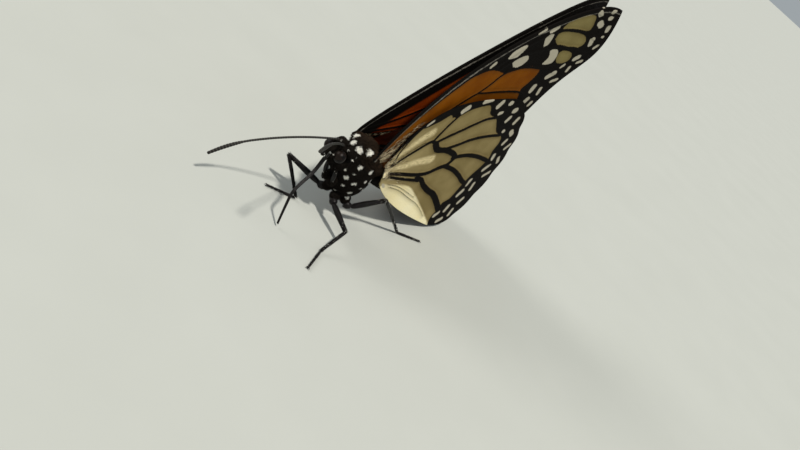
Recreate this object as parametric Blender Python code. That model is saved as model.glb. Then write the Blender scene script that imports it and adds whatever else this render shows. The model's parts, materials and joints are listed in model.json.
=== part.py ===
"""Monarch butterfly, life size, standing with its wings held up over its back.

The body is described in its own frame, in millimetres: +X to the insect's left, +Y to its
tail, +Z to its back, from the middle of the thorax. An empty then pitches that frame nose up
and lifts it, so that the four walking feet meet the floor and the lower edges of the hindwings
hang just clear of it.
"""

from math import cos, pi, radians, sin, sqrt

import bmesh
import bpy
from mathutils import Matrix, Vector

MM = 0.001

# ---------------------------------------------------------------- driving sizes, in mm
PITCH = radians(15.0)           # nose-up pitch of the body on its legs
BODY_HEIGHT = 11.2              # middle of the thorax above the floor
BODY_FORWARD = 7.97             # middle of the thorax ahead of the middle of the whole
BODY_SIDE = 0.77                # and to the right of it, as the left feet reach further

THORAX_HALF = (3.5, 4.8, 5.7)
THORAX_MIDDLE = (0.0, 1.6, -1.5)
THORAX_LEAN = 0.4               # how far its top leans forward for each mm of height
COLLAR = 1.0                    # how far the neck end is drawn out

HEAD_HALF = (1.8, 1.45, 1.75)
HEAD_MIDDLE = (0.0, -6.3, -0.7)
EYE_RADIUS = 1.0
EYE_MIDDLE = (1.35, -6.6, -0.45)
SOCKET_GAP = 0.08

ABDOMEN_START = 6.85
ABDOMEN_LENGTH = 14.8
ABDOMEN_RADIUS = 2.1

WING_THICKNESS = 0.5
WING_CLEARANCE = 0.22           # between the two wings of one side, and to the thorax

FOREWING_HINGE = (-1.2, 3.0)    # tailward, up
FOREWING_SWEEP = radians(114.7)  # from straight ahead to the line from hinge to wing tip
FOREWING_LENGTH = 48.9
FOREWING_ROOT = -0.9            # the narrow root reaches this far ahead of the hinge
TIP_LEAN = {1: 1.45, -1: 0.35}  # how far the left and right tips lean out
FOREWING_TORNUS = (30.9, 20.0)  # along that line, and across it
FOREWING_TIP_DROP = 2.5
COSTA_BULGE = 4.2
OUTER_BULGE = 5.0
INNER_HOLLOW = 0.8

HINDWING_HINGE = (2.6, 1.6)
HINDWING_SWEEP = radians(127.4)
HINDWING_SPREAD = radians(62.9)
HINDWING_REACH = (29.4, 35.8, 30.8)  # at the leading edge, the middle and the hind corner
HINDWING_ROUNDING = (1.1, 4.2)  # taken off its front and hind corners
SHOULDER_BULGE = 6.2
ANAL_BULGE = 2.4

HIP_RADIUS = 0.75
LEG_RADIUS = {"femur": (0.50, 0.36), "tibia": (0.36, 0.28)}
TARSUS_WIDTH = 0.56
TARSUS_HEIGHT = 0.5
JOINT_GAP = 0.12                # between the segments of a leg

ANTENNA_LENGTH = 18.4
ANTENNA_RADIUS = 0.26
CLUB_RADIUS = 0.48

MODEL = bpy.data.collections.new("monarch_butterfly")
CUTTERS = bpy.data.collections.new("cutters")


# ---------------------------------------------------------------- finishes and objects
def finish(name, colour, roughness):
    material = bpy.data.materials.new(name)
    material.use_nodes = True
    shader = material.node_tree.nodes["Principled BSDF"]
    shader.inputs["Base Color"].default_value = (*colour, 1.0)
    shader.inputs["Roughness"].default_value = roughness
    shader.inputs["Metallic"].default_value = 0.0
    return material


def place(name, data, material, parent, collection=None):
    item = bpy.data.objects.new(name, data)
    data.materials.append(material)
    (collection or MODEL).objects.link(item)
    item.parent = parent
    return item


def mesh_from(bm, name, smooth=40.0):
    """A mesh in metres of a closed form drawn in millimetres, its faces turned outwards."""
    bmesh.ops.recalc_face_normals(bm, faces=bm.faces)
    if bm.calc_volume(signed=True) < 0.0:
        bmesh.ops.reverse_faces(bm, faces=bm.faces)
    bmesh.ops.scale(bm, verts=bm.verts, vec=(MM, MM, MM))
    mesh = bpy.data.meshes.new(name)
    bm.to_mesh(mesh)
    bm.free()
    mesh.shade_smooth()
    mesh.set_sharp_from_angle(angle=radians(smooth))
    return mesh


def ball(name, half, middle, rings, sides, reshape=None):
    """An egg along Y: a sphere with poles fore and aft, stretched, then moved by reshape."""
    bm = bmesh.new()
    bmesh.ops.create_uvsphere(bm, u_segments=sides, v_segments=rings, radius=1.0)
    bmesh.ops.rotate(bm, verts=bm.verts, matrix=Matrix.Rotation(radians(90.0), 3, "X"))
    for vert in bm.verts:
        unit = vert.co.copy()
        point = Vector(m + h * c for m, h, c in zip(middle, half, unit))
        if reshape:
            point = reshape(unit, point)
        vert.co = point
    return mesh_from(bm, name)


def rod(name, points, radii, material, parent, resolution=1):
    """A round tapering rod through the points, with flat ends."""
    curve = bpy.data.curves.new(name, "CURVE")
    curve.dimensions = "3D"
    curve.bevel_depth = MM
    curve.bevel_resolution = resolution
    curve.use_fill_caps = True
    spline = curve.splines.new("POLY")
    spline.points.add(len(points) - 1)
    for target, point, radius in zip(spline.points, points, radii):
        target.co = (*(Vector(point) * MM), 1.0)
        target.radius = radius
    return place(name, curve, material, parent)


# ---------------------------------------------------------------- body
def thorax_half_width(tailward, up):
    """Half the thorax's width at a place on its side, 0 past its outline."""
    middle = THORAX_MIDDLE[1] + THORAX_LEAN * (THORAX_MIDDLE[2] - up)
    inside = 1.0
    inside -= ((tailward - middle) / THORAX_HALF[1]) ** 2
    inside -= ((up - THORAX_MIDDLE[2]) / THORAX_HALF[2]) ** 2
    return THORAX_HALF[0] * sqrt(max(0.0, inside))


def make_thorax(material, parent):
    def lean(unit, point):
        point.y += THORAX_LEAN * (THORAX_MIDDLE[2] - point.z)
        point.y -= COLLAR * max(0.0, -unit.y) ** 8
        return point

    mesh = ball("thorax", THORAX_HALF, THORAX_MIDDLE, 20, 24, lean)
    place("thorax", mesh, material, parent)


def make_abdomen(material, parent):
    """Slender at the waist, fullest before its middle, pointed and slightly raised."""
    def taper(unit, point):
        along = (1.0 + unit.y) / 2.0
        ring = max(1e-6, sqrt(unit.x ** 2 + unit.z ** 2))
        fullness = ring ** 0.62 * (0.82 + 0.22 * sin(pi * along ** 0.8) - 0.16 * along)
        radius = ABDOMEN_RADIUS * fullness
        rise = -1.3 + 1.3 * along
        return Vector((
            radius * unit.x / ring,
            ABDOMEN_START + ABDOMEN_LENGTH * along,
            rise + 1.05 * radius * unit.z / ring,
        ))

    mesh = ball("abdomen", (1, 1, 1), (0, 0, 0), 18, 16, taper)
    place("abdomen", mesh, material, parent)


def make_head(black, eye_finish, parent):
    head = place("head", ball("head", HEAD_HALF, HEAD_MIDDLE, 12, 16), black, parent)
    for side, mark in ((1, "left"), (-1, "right")):
        middle = (side * EYE_MIDDLE[0], EYE_MIDDLE[1], EYE_MIDDLE[2])
        eye = ball("eye_" + mark, (EYE_RADIUS,) * 3, middle, 8, 12)
        place("eye_" + mark, eye, eye_finish, parent)
        hole = ball("socket_" + mark, (EYE_RADIUS + SOCKET_GAP,) * 3, middle, 8, 12)
        cutter = place("socket_" + mark, hole, black, parent, CUTTERS)
        cutter.hide_render = True
        cutter.display_type = "WIRE"
        cut = head.modifiers.new("socket_" + mark, "BOOLEAN")
        cut.operation = "DIFFERENCE"
        cut.solver = "EXACT"
        cut.object = cutter


def make_mouth(black, parent):
    for side, mark in ((1, "left"), (-1, "right")):
        points = [(side * (0.42 + 0.04 * i), -7.8 - 0.10 * i, -2.1 + 0.45 * i) for i in range(5)]
        rod("palp_" + mark, points, (0.24, 0.30, 0.30, 0.26, 0.20), black, parent)
    steps = 14
    points = []
    for i in range(steps + 1):
        t = i / steps
        ahead = 2.5 * sin(pi / 2 * min(1.0, t / 0.62)) ** 3 - 1.6 * max(0.0, t - 0.62)
        points.append((3.65 * t ** 1.2, -7.05 - ahead, -2.45 - 11.0 * t))
    rod("proboscis", points, [0.30 - 0.04 * i / steps for i in range(steps + 1)], black, parent)


def make_antenna(mark, root, direction, bow, black, parent):
    """A thin feeler, bowed across its length, that swells to a club over its last fifth."""
    length = ANTENNA_LENGTH
    steps = 16
    direction = Vector(direction).normalized()
    points = []
    radii = []
    for i in range(steps + 1):
        t = i / steps
        points.append(Vector(root) + direction * length * t + Vector(bow) * 4 * t * (1 - t))
        club = max(0.0, (t - 0.78) / 0.22)
        radii.append(ANTENNA_RADIUS + (CLUB_RADIUS - ANTENNA_RADIUS) * sin(pi * club ** 0.7 * 0.9))
    rod("antenna_" + mark, points, radii, black, parent)


# ---------------------------------------------------------------- wings
def from_hinge(hinge, sweep, along, across):
    """A wing's own coordinates as a place on the insect's side: tailward and up."""
    return (hinge[0] - along * cos(sweep) + across * sin(sweep),
            hinge[1] + along * sin(sweep) + across * cos(sweep))


def to_hinge(hinge, sweep, tailward, up):
    dy = tailward - hinge[0]
    dz = up - hinge[1]
    return -dy * cos(sweep) + dz * sin(sweep), dy * sin(sweep) + dz * cos(sweep)


def softer_max(a, b, blend=0.35):
    return 0.5 * (a + b + sqrt((a - b) ** 2 + blend ** 2))


def beside_thorax(outward, tailward, up):
    width = thorax_half_width(tailward, up)
    if width == 0.0:
        return outward
    return max(outward, width + WING_THICKNESS / 2 + WING_CLEARANCE)


def forewing_outward(tailward, up, side):
    """How far the forewing's middle surface stands from the plane between the wings."""
    along, across = to_hinge(FOREWING_HINGE, FOREWING_SWEEP, tailward, up)
    root = max(0.0, 1.0 - along / 28.0) ** 2
    tip = (max(0.0, along - 28.0) / 22.0) ** 2
    outward = 0.65 + 2.15 * root + TIP_LEAN[side] * tip + across * (0.002 * along - 0.05)
    return beside_thorax(max(0.5, outward), tailward, up)


def hindwing_outward(tailward, up, side):
    along, across = to_hinge(HINDWING_HINGE, HINDWING_SWEEP, tailward, up)
    outward = 2.8 - 0.037 * along + across * (0.15 - 0.0037 * along)
    step = WING_THICKNESS + WING_CLEARANCE
    outward = softer_max(outward, forewing_outward(tailward, up, side) + step)
    return beside_thorax(outward, tailward, up)


def forewing_costa(along):
    t = max(0.0, along) / FOREWING_LENGTH
    return -COSTA_BULGE * sin(pi * t ** 0.9) ** 0.8 + FOREWING_TIP_DROP * t ** 16


def forewing_hind_edge(along):
    """The inner margin as far as the hind corner, then the outer margin to the tip."""
    corner, depth = FOREWING_TORNUS
    t = along / corner
    inner = 0.9 + (depth - 0.9) * t - INNER_HOLLOW * sin(pi * min(1.0, t))
    s = (along - corner) / (FOREWING_LENGTH - corner)
    outer = depth + (FOREWING_TIP_DROP - depth) * s
    if s > 0.0:
        outer += OUTER_BULGE * sin(pi * min(1.0, s) ** 3.0) ** 0.7
    return 0.5 * (inner + outer - sqrt((inner - outer) ** 2 + 1.2 ** 2))


def hindwing_point(radial, turn):
    """A place in the hindwing's plane: radial 0 at the hinge to 1 at the margin, and turn
    0 at the leading edge to 1 at the inner margin."""
    lead, middle, hind = HINDWING_REACH
    reach = lead * (1 - turn) * (1 - 2 * turn) + 4 * middle * turn * (1 - turn)
    reach += hind * turn * (2 * turn - 1)
    reach -= HINDWING_ROUNDING[0] * max(0.0, 1 - turn / 0.12) ** 2
    reach -= HINDWING_ROUNDING[1] * max(0.0, 1 - (1 - turn) / 0.14) ** 2
    angle = HINDWING_SPREAD * turn
    along = radial * reach * cos(angle)
    across = radial * reach * sin(angle)
    across -= SHOULDER_BULGE * (1 - turn) ** 2 * sin(pi * radial ** 0.74)
    fold = ANAL_BULGE * turn ** 2 * sin(pi * radial ** 0.6)
    return along - fold * sin(HINDWING_SPREAD), across + fold * cos(HINDWING_SPREAD)


def wing_solid(name, side, rows, hinge, sweep, outward, floor_at=None):
    """A closed plate over a grid of places in the wing's plane, thickened sideways."""
    bm = bmesh.new()
    grid = []
    for row in rows:
        line = []
        for along, across in row:
            tailward, up = from_hinge(hinge, sweep, along, across)
            if floor_at:
                up = max(up, floor_at(tailward))
            middle = outward(tailward, up, side)
            line.append(bm.verts.new((side * middle, tailward, up)))
        grid.append(line)
    for first, second in zip(grid, grid[1:]):
        for i in range(len(first) - 1):
            bm.faces.new((first[i], first[i + 1], second[i + 1], second[i]))
    bmesh.ops.remove_doubles(bm, verts=bm.verts, dist=0.02)
    sheet = list(bm.verts)
    thick = bmesh.ops.extrude_face_region(bm, geom=list(bm.faces))
    raised = [item for item in thick["geom"] if isinstance(item, bmesh.types.BMVert)]
    half = side * WING_THICKNESS / 2
    bmesh.ops.translate(bm, verts=raised, vec=(half, 0.0, 0.0))
    bmesh.ops.translate(bm, verts=sheet, vec=(-half, 0.0, 0.0))
    return mesh_from(bm, name)


def make_wings(finishes, parent):
    columns = 30
    deep = 9
    run = FOREWING_LENGTH - FOREWING_ROOT
    stations = [FOREWING_ROOT + run * sin(pi / 2 * i / columns) for i in range(columns + 1)]
    forewing = []
    for along in stations:
        top = forewing_costa(along)
        bottom = max(top, forewing_hind_edge(along))
        if along == stations[-1]:
            bottom = top
        forewing.append([(along, top + (bottom - top) * j / deep) for j in range(deep + 1)])
    hindwing = [[hindwing_point(0.03 + 0.97 * i / 14, j / 18) for j in range(19)]
                for i in range(15)]

    def floor_line(tailward):
        return (tailward * sin(PITCH) - BODY_HEIGHT) / cos(PITCH)

    for side, mark in ((1, "left"), (-1, "right")):
        mesh = wing_solid("forewing_" + mark, side, forewing, FOREWING_HINGE, FOREWING_SWEEP,
                          forewing_outward)
        place("forewing_" + mark, mesh, finishes["forewing"], parent)
        mesh = wing_solid("hindwing_" + mark, side, hindwing, HINDWING_HINGE, HINDWING_SWEEP,
                          hindwing_outward, floor_line)
        place("hindwing_" + mark, mesh, finishes["hindwing"], parent)


# ---------------------------------------------------------------- legs
def make_tarsus(name, ankle, toe, material):
    """The foot: a tapering bar that lies on the floor on a narrow flat."""
    ankle = Vector(ankle)
    run = Vector(toe) - ankle
    bm = bmesh.new()
    bmesh.ops.create_cube(bm, size=1.0)
    along_edges = [e for e in bm.edges if abs(e.verts[0].co.x - e.verts[1].co.x) > 0.5]
    bmesh.ops.bevel(bm, geom=along_edges, offset=0.24, segments=1, profile=0.5,
                    affect="EDGES", material=-1)
    turn = Matrix.Rotation(run.to_2d().angle_signed(Vector((1.0, 0.0))), 3, "Z")
    for vert in bm.verts:
        t = vert.co.x + 0.5
        taper = 1.0 - 0.12 * t
        local = Vector((t * run.length, vert.co.y * TARSUS_WIDTH * taper,
                        (vert.co.z + 0.5) * TARSUS_HEIGHT))
        vert.co = turn @ local + Vector((ankle.x, ankle.y, 0.0))
    place(name, mesh_from(bm, name), material, None)


def make_walking_leg(prefix, hip, coxa, knee, ankle, toe, black, to_floor):
    """Femur and tibia in space, and the tarsus flat on the floor.

    The first three places are in the body's frame, the last two on the floor (x, y)."""
    hip = to_floor @ Vector(hip)
    coxa = to_floor @ Vector(coxa)
    knee = to_floor @ Vector(knee)
    ankle = Vector((*ankle, 0.25))
    toe = Vector((*toe, 0.25))
    foot_top = TARSUS_HEIGHT / 2 + JOINT_GAP + LEG_RADIUS["tibia"][1] * 0.6
    shin_end = ankle + Vector((0.0, 0.0, foot_top))
    thigh = (knee - coxa).normalized()
    shin = (shin_end - knee).normalized()
    bend = thigh.angle(shin)
    big, small = LEG_RADIUS["femur"]
    swell = coxa.lerp(knee, 0.35)
    rod(prefix + "_femur", (hip, coxa, swell, knee), (HIP_RADIUS, big, big, small), black, None)
    big, small = LEG_RADIUS["tibia"]
    start = knee + shin * (JOINT_GAP + big * sin(min(bend, pi / 2)) + big * max(0.0, -cos(bend)))
    rod(prefix + "_tibia", (start, start.lerp(shin_end, 0.4), shin_end), (big, big, small), black, None)
    make_tarsus(prefix + "_tarsus", ankle, toe, black)


def make_legs(black, parent, to_floor):
    left_middle = dict(hip=(1.4, 2.1, -7.4), coxa=(2.4, 1.5, -7.6), knee=(7.5, 1.1, -8.6))
    left_hind = dict(hip=(1.8, 5.0, -7.1), coxa=(2.7, 5.8, -6.7), knee=(5.1, 8.0, -1.9))
    right_middle = dict(hip=(-1.4, 2.1, -7.4), coxa=(-2.2, 1.3, -7.5), knee=(-6.6, -3.8, -7.3))
    right_hind = dict(hip=(-1.8, 5.0, -7.1), coxa=(-2.7, 5.6, -6.7), knee=(-5.3, 7.4, -3.0))
    stance = {
        "middle_leg_left": (left_middle, (9.1, -3.3), (12.1, -8.6)),
        "hind_leg_left": (left_hind, (5.9, 19.1), (8.3, 24.1)),
        "middle_leg_right": (right_middle, (-1.9, -0.6), (-4.7, -5.2)),
        "hind_leg_right": (right_hind, (-7.2, 11.0), (-10.6, 14.6)),
    }
    for name, (upper, ankle, toe) in stance.items():
        feet = []
        for x, y in (ankle, toe):
            spot = to_floor @ Vector((x, y, (y * sin(PITCH) - BODY_HEIGHT) / cos(PITCH)))
            feet.append((spot.x, spot.y))
        make_walking_leg(name, upper["hip"], upper["coxa"], upper["knee"], feet[0], feet[1], black, to_floor)
    for side, mark in ((1, "left"), (-1, "right")):
        points = [(side * (1.0 + 0.15 * sin(pi * i / 5)), -1.95 - 0.42 * i, -4.9 + 0.48 * i)
                  for i in range(6)]
        rod("foreleg_" + mark, points, (0.28, 0.38, 0.42, 0.42, 0.38, 0.28), black, parent)


# ---------------------------------------------------------------- assembly
def build():
    for item in list(bpy.data.objects):
        bpy.data.objects.remove(item)
    for collection in (MODEL, CUTTERS):
        bpy.context.scene.collection.children.link(collection)
    pose = bpy.data.objects.new("pose", None)
    MODEL.objects.link(pose)
    pose.rotation_euler = (-PITCH, 0.0, 0.0)
    pose.location = Vector((-BODY_SIDE, -BODY_FORWARD, BODY_HEIGHT)) * MM
    lift = Matrix.Translation((-BODY_SIDE, -BODY_FORWARD, BODY_HEIGHT))
    to_floor = lift @ Matrix.Rotation(-PITCH, 4, "X")

    black = finish("black_cuticle", (0.012, 0.010, 0.009), 0.45)
    fur = finish("black_fur", (0.016, 0.013, 0.011), 0.85)
    eye = finish("eye_black", (0.010, 0.008, 0.007), 0.15)
    wings = {
        "forewing": finish("orange_wing", (0.42, 0.13, 0.010), 0.6),
        "hindwing": finish("tan_wing", (0.46, 0.34, 0.13), 0.6),
    }
    make_thorax(fur, pose)
    make_abdomen(fur, pose)
    make_head(fur, eye, pose)
    make_mouth(black, pose)
    make_antenna("right", (-0.62, -7.4, 1.15), (-0.35, -0.63, -0.70), (-0.45, -0.12, 0.62), black, pose)
    make_antenna("left", (0.62, -7.4, 1.15), (0.40, -0.91, 0.09), (0.1, 0.0, 0.45), black, pose)
    make_wings(wings, pose)
    make_legs(black, pose, to_floor)


build()
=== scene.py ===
"""Looks of the monarch butterfly: patterned wings, one furred skin, jointed legs and feelers.

Everything on the insect is drawn in its own frame in millimetres (+X to its left, +Y to the
tail, +Z to the back) and stood on the floor by stand_up().
"""
import json
from math import cos, pi, radians, sin, sqrt

import bmesh
import bpy
import numpy as np
from mathutils import Matrix, Vector

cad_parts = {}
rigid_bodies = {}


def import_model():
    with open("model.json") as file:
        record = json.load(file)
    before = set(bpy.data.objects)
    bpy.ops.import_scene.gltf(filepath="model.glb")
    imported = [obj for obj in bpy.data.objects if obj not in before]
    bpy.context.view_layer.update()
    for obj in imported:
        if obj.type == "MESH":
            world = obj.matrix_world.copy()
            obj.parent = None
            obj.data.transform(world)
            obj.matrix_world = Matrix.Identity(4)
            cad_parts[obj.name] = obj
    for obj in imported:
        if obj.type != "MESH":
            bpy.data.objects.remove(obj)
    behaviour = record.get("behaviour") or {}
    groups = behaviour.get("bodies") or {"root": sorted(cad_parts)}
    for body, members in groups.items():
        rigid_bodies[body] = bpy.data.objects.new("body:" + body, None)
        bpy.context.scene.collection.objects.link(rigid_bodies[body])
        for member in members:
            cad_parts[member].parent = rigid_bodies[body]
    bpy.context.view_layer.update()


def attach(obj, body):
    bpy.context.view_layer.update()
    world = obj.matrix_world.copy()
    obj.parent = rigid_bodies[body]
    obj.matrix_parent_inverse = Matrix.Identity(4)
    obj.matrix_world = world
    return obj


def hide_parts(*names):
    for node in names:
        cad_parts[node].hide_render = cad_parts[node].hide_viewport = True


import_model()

MM = 0.001
PITCH = radians(15.0)
BODY_HEIGHT = 11.2
BODY_FORWARD = 7.97
BODY_SIDE = 0.77
STAND = Matrix.Translation((-BODY_SIDE, -BODY_FORWARD, BODY_HEIGHT)) @ Matrix.Rotation(-PITCH, 4, "X")

THORAX_HALF = (3.5, 4.8, 5.7)
THORAX_MIDDLE = (0.0, 1.6, -1.5)
THORAX_LEAN = 0.4
COLLAR = 1.0
HEAD_HALF = (1.8, 1.45, 1.75)
HEAD_MIDDLE = (0.0, -6.3, -0.7)
EYE_RADIUS = 1.0
EYE_MIDDLE = (1.35, -6.6, -0.45)
ABDOMEN_START = 6.85
ABDOMEN_LENGTH = 14.8
ABDOMEN_RADIUS = 2.1
COAT_DEPTH = {"thorax": 0.42, "head": 0.24, "abdomen": 0.2}

WING_THICKNESS = 0.5
WING_CLEARANCE = 0.22
FOREWING_HINGE = (-1.2, 3.0)
FOREWING_SWEEP = radians(114.7)
FOREWING_LENGTH = 48.9
FOREWING_ROOT = -0.9
TIP_LEAN = {1: 1.45, -1: 0.35}
FOREWING_TORNUS = (30.9, 20.0)
FOREWING_TIP_DROP = 2.5
COSTA_BULGE = 4.2
OUTER_BULGE = 5.0
INNER_HOLLOW = 0.8
HINDWING_HINGE = (2.6, 1.6)
HINDWING_SWEEP = radians(127.4)
HINDWING_SPREAD = radians(62.9)
HINDWING_REACH = (29.4, 35.8, 30.8)
HINDWING_ROUNDING = (1.1, 4.2)
SHOULDER_BULGE = 6.2
ANAL_BULGE = 2.4
ANTENNA_LENGTH = 18.4
MEMBRANE = 0.16
VEIN_HEIGHT = 0.16
# how far a place is from a marking that the wing or body does not have
FAR_OFF = 5.0
SIDES = ((1, "left"), (-1, "right"))
# the dark margin along the front edge of each wing
FORE_MARGIN = 0.30
HIND_MARGIN = 0.28
# where the head's coat ends and the abdomen's begins, mm tailward
HEAD_END = -4.6
ABDOMEN_COAT = 6.8
COAT_TUFTS = 23000
# the size of a tuft's patch on the OFBake map
MAP_PATCH = 0.003
# height of a foot's middle line, and the height under which a leg has no bristles
FOOT_HEIGHT = 0.27
BARE_HEIGHT = 0.2
CLAW_START = 0.94

CAMERA_AIM = (10.13, -3.29, 7.9)
# degrees round, up and rolled
CAMERA_ANGLES = (23.94, 25.13, 42.3)
CAMERA_AWAY = 138.5

CHANCE = np.random.default_rng(11)


# ---------------- camera, floor and light
def put(name, data):
    item = bpy.data.objects.new(name, data)
    bpy.context.scene.collection.objects.link(item)
    return item


def make_camera():
    aim = Vector(CAMERA_AIM) * MM
    azimuth, elevation, roll = (radians(angle) for angle in CAMERA_ANGLES)
    back = Vector((sin(azimuth) * cos(elevation), -cos(azimuth) * cos(elevation), sin(elevation)))
    level = Vector((0, 0, 1)).cross(back).normalized()
    rise = back.cross(level)
    right = level * cos(roll) + rise * sin(roll)
    up = rise * cos(roll) - level * sin(roll)
    lens = bpy.data.cameras.new("camera")
    lens.lens = 40.0
    lens.sensor_width = 36.0
    lens.clip_start = 0.005
    lens.clip_end = 100.0
    camera = put("camera", lens)
    turn = Matrix((right, up, back)).transposed().to_4x4()
    camera.matrix_world = Matrix.Translation(aim + back * CAMERA_AWAY * MM) @ turn
    bpy.context.scene.camera = camera


def make_lamp(name, toward, energy, angle, colour):
    lamp = bpy.data.lights.new(name, "SUN")
    lamp.energy = energy
    lamp.angle = radians(angle)
    lamp.color = colour
    put(name, lamp).rotation_euler = Vector(toward).to_track_quat("Z", "Y").to_euler()


def make_studio():
    bm = bmesh.new()
    bmesh.ops.create_grid(bm, x_segments=8, y_segments=8, size=30.0)
    mesh = bpy.data.meshes.new("floor")
    bm.to_mesh(mesh)
    bm.free()
    floor = put("floor", mesh)
    paint = Finish("floor_paint", roughness=0.8)
    grain = paint.noise(paint.objects(), 60.0, 3)
    paint.shade(paint.mix(grain, (0.40, 0.415, 0.39), (0.43, 0.445, 0.42)))
    mesh.materials.append(paint.material)
    make_lamp("key_light", (0.32, -0.22, 0.92), 3.3, 5.0, (1.0, 0.95, 0.86))
    make_lamp("rim_light", (-0.72, -0.36, 0.52), 1.2, 25.0, (1.0, 0.96, 0.90))
    world = bpy.data.worlds.new("studio")
    world.use_nodes = True
    sky = world.node_tree.nodes["Background"]
    sky.inputs["Color"].default_value = (0.80, 0.88, 0.92, 1)
    sky.inputs["Strength"].default_value = 0.42
    bpy.context.scene.world = world
    bpy.context.scene.view_settings.view_transform = "Standard"


# ---------------- finishes
class Finish:
    """A node material that is put together from a few plain steps."""

    def __init__(self, name, roughness=0.5, **constants):
        self.material = bpy.data.materials.new(name)
        self.material.use_nodes = True
        self.tree = self.material.node_tree
        self.shader = self.tree.nodes["Principled BSDF"]
        self.shader.inputs["Roughness"].default_value = roughness
        for key, value in constants.items():
            socket = self.shader.inputs[key.replace("_", " ").title().replace("Ior", "IOR")]
            socket.default_value = (*value, 1.0) if isinstance(value, tuple) else value

    def add(self, kind, *links, **settings):
        step = self.tree.nodes.new("ShaderNode" + kind)
        for key, value in settings.items():
            setattr(step, key, value)
        for slot, value in enumerate(links):
            self.join(step.inputs[slot], value)
        return step

    def join(self, socket, value):
        if value is None:
            return
        if isinstance(value, bpy.types.NodeSocket):
            self.tree.links.new(value, socket)
        elif isinstance(value, tuple) and socket.type == "RGBA":
            socket.default_value = (*value, 1.0)
        else:
            socket.default_value = value

    def objects(self):
        return self.add("TexCoord").outputs["Object"]

    def reading(self, name):
        return self.add("Attribute", attribute_name=name).outputs["Fac"]

    def layout(self, name):
        return self.add("UVMap", uv_map=name).outputs["UV"]

    def texture(self, kind, vector, output=0, **settings):
        step = self.add(kind, vector)
        for name, value in settings.items():
            step.inputs[name].default_value = value
        return step.outputs[output]

    def stretched(self, vector, scale):
        return self.texture("Mapping", vector, Scale=scale)

    def noise(self, vector, scale, detail=2.0, roughness=0.5):
        return self.texture("TexNoise", vector, Scale=scale, Detail=detail, Roughness=roughness)

    def cells(self, vector, scale):
        return self.texture("TexVoronoi", vector, "Distance", Scale=scale)

    def times(self, *values):
        return self.add("Math", *values, operation="MULTIPLY").outputs[0]

    def plus(self, *values):
        return self.add("Math", *values, operation="ADD").outputs[0]

    def less(self, *values):
        return self.add("Math", *values, operation="SUBTRACT").outputs[0]

    def ramp(self, value, low, high, to_low=0.0, to_high=1.0):
        limits = (low, high, to_low, to_high)
        return self.add("MapRange", value, *limits, interpolation_type="SMOOTHSTEP").outputs[0]

    def mix(self, share, first, second):
        step = self.add("Mix", share, data_type="RGBA")
        self.join(step.inputs[6], first)
        self.join(step.inputs[7], second)
        return step.outputs[2]

    def shade(self, colour, height=None, depth=0.00001, roughness=None, strength=1.0):
        self.join(self.shader.inputs["Base Color"], colour)
        self.join(self.shader.inputs["Roughness"], roughness)
        if height is not None:
            bump = self.add("Bump")
            bump.inputs["Strength"].default_value = strength
            bump.inputs["Distance"].default_value = depth
            self.join(bump.inputs["Height"], height)
            self.join(self.shader.inputs["Normal"], bump.outputs[0])
        return self.material


def wing_finish(name, ground, patch, tones):
    """Scaled wing: a ground and a second patch colour, black veins and borders, pale spots.

    The mesh carries how far each place is, in mm, from the edge of every marking."""
    paint = Finish(name, roughness=0.7, specular_ior_level=0.01)
    place = paint.layout("WingPlane")
    fray = paint.less(paint.noise(place, 5.0, 2.0, 0.6), 0.5)
    ripple = paint.times(fray, 0.42)
    dust = paint.noise(paint.stretched(place, (9.0, 17.0, 1.0)), 1.0, 2.0)
    broad = paint.noise(place, 0.22, 3.0)
    hairs = paint.noise(paint.stretched(place, (1.3, 17.0, 1.0)), 1.0, 3.0, 0.6)
    scales = paint.cells(paint.stretched(place, (6.5, 11.0, 1.0)), 1.0)

    def within(mark, soft=0.07, shift=0.0):
        return paint.ramp(paint.plus(paint.reading(mark), ripple), soft + shift, shift - soft)

    def tone(pair):
        return paint.mix(paint.ramp(broad, 0.3, 0.7), *pair)

    colour = paint.mix(within("patch", 0.25), tone(ground), tone(patch))
    near = paint.ramp(paint.reading("root"), 14.0, 1.0)
    colour = paint.mix(paint.times(near, 0.45), colour, tones["base"])
    colour = paint.mix(paint.times(paint.ramp(paint.reading("dark"), 1.1, 0.0), 0.28),
                       colour, tones["dusk"])
    colour = paint.mix(paint.ramp(dust, 0.35, 0.75, 0.0, 0.35), colour, tones["dusk"])
    # painted highlight: warm light streaks near the wing roots, broken up along the fine hair
    painted_glint = paint.times(within("painted_glint", 0.45), paint.ramp(hairs, 0.34, 0.68))
    colour = paint.mix(painted_glint, colour, tones["painted_glint"])
    black = paint.mix(dust, (0.0025, 0.002, 0.002), (0.008, 0.007, 0.006))
    colour = paint.mix(within("dark", 0.07), colour, black)
    chalk = paint.mix(dust, tones["spot"], (0.47, 0.44, 0.36))
    pale = within("pale", 0.07)
    if "band" in tones:
        rib = within("costa", 0.3, tones["band"])
        colour = paint.mix(rib, colour, black)
        pale = paint.times(pale, paint.less(1.0, rib))
    # painted highlight: a pale grey line just inside the leading edge, where light catches the front vein
    costa_highlight = paint.times(within("costa_highlight", 0.06), paint.ramp(hairs, 0.40, 0.60, 0.1, 0.8))
    colour = paint.mix(costa_highlight, colour, (0.30, 0.28, 0.24))
    colour = paint.mix(pale, colour, chalk)
    relief = paint.plus(scales, paint.times(hairs, 0.8))
    gloss = paint.ramp(dust, 0.2, 0.8, 0.48, 0.68)
    return paint.shade(colour, relief, 0.00003, gloss, 0.5)


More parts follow.
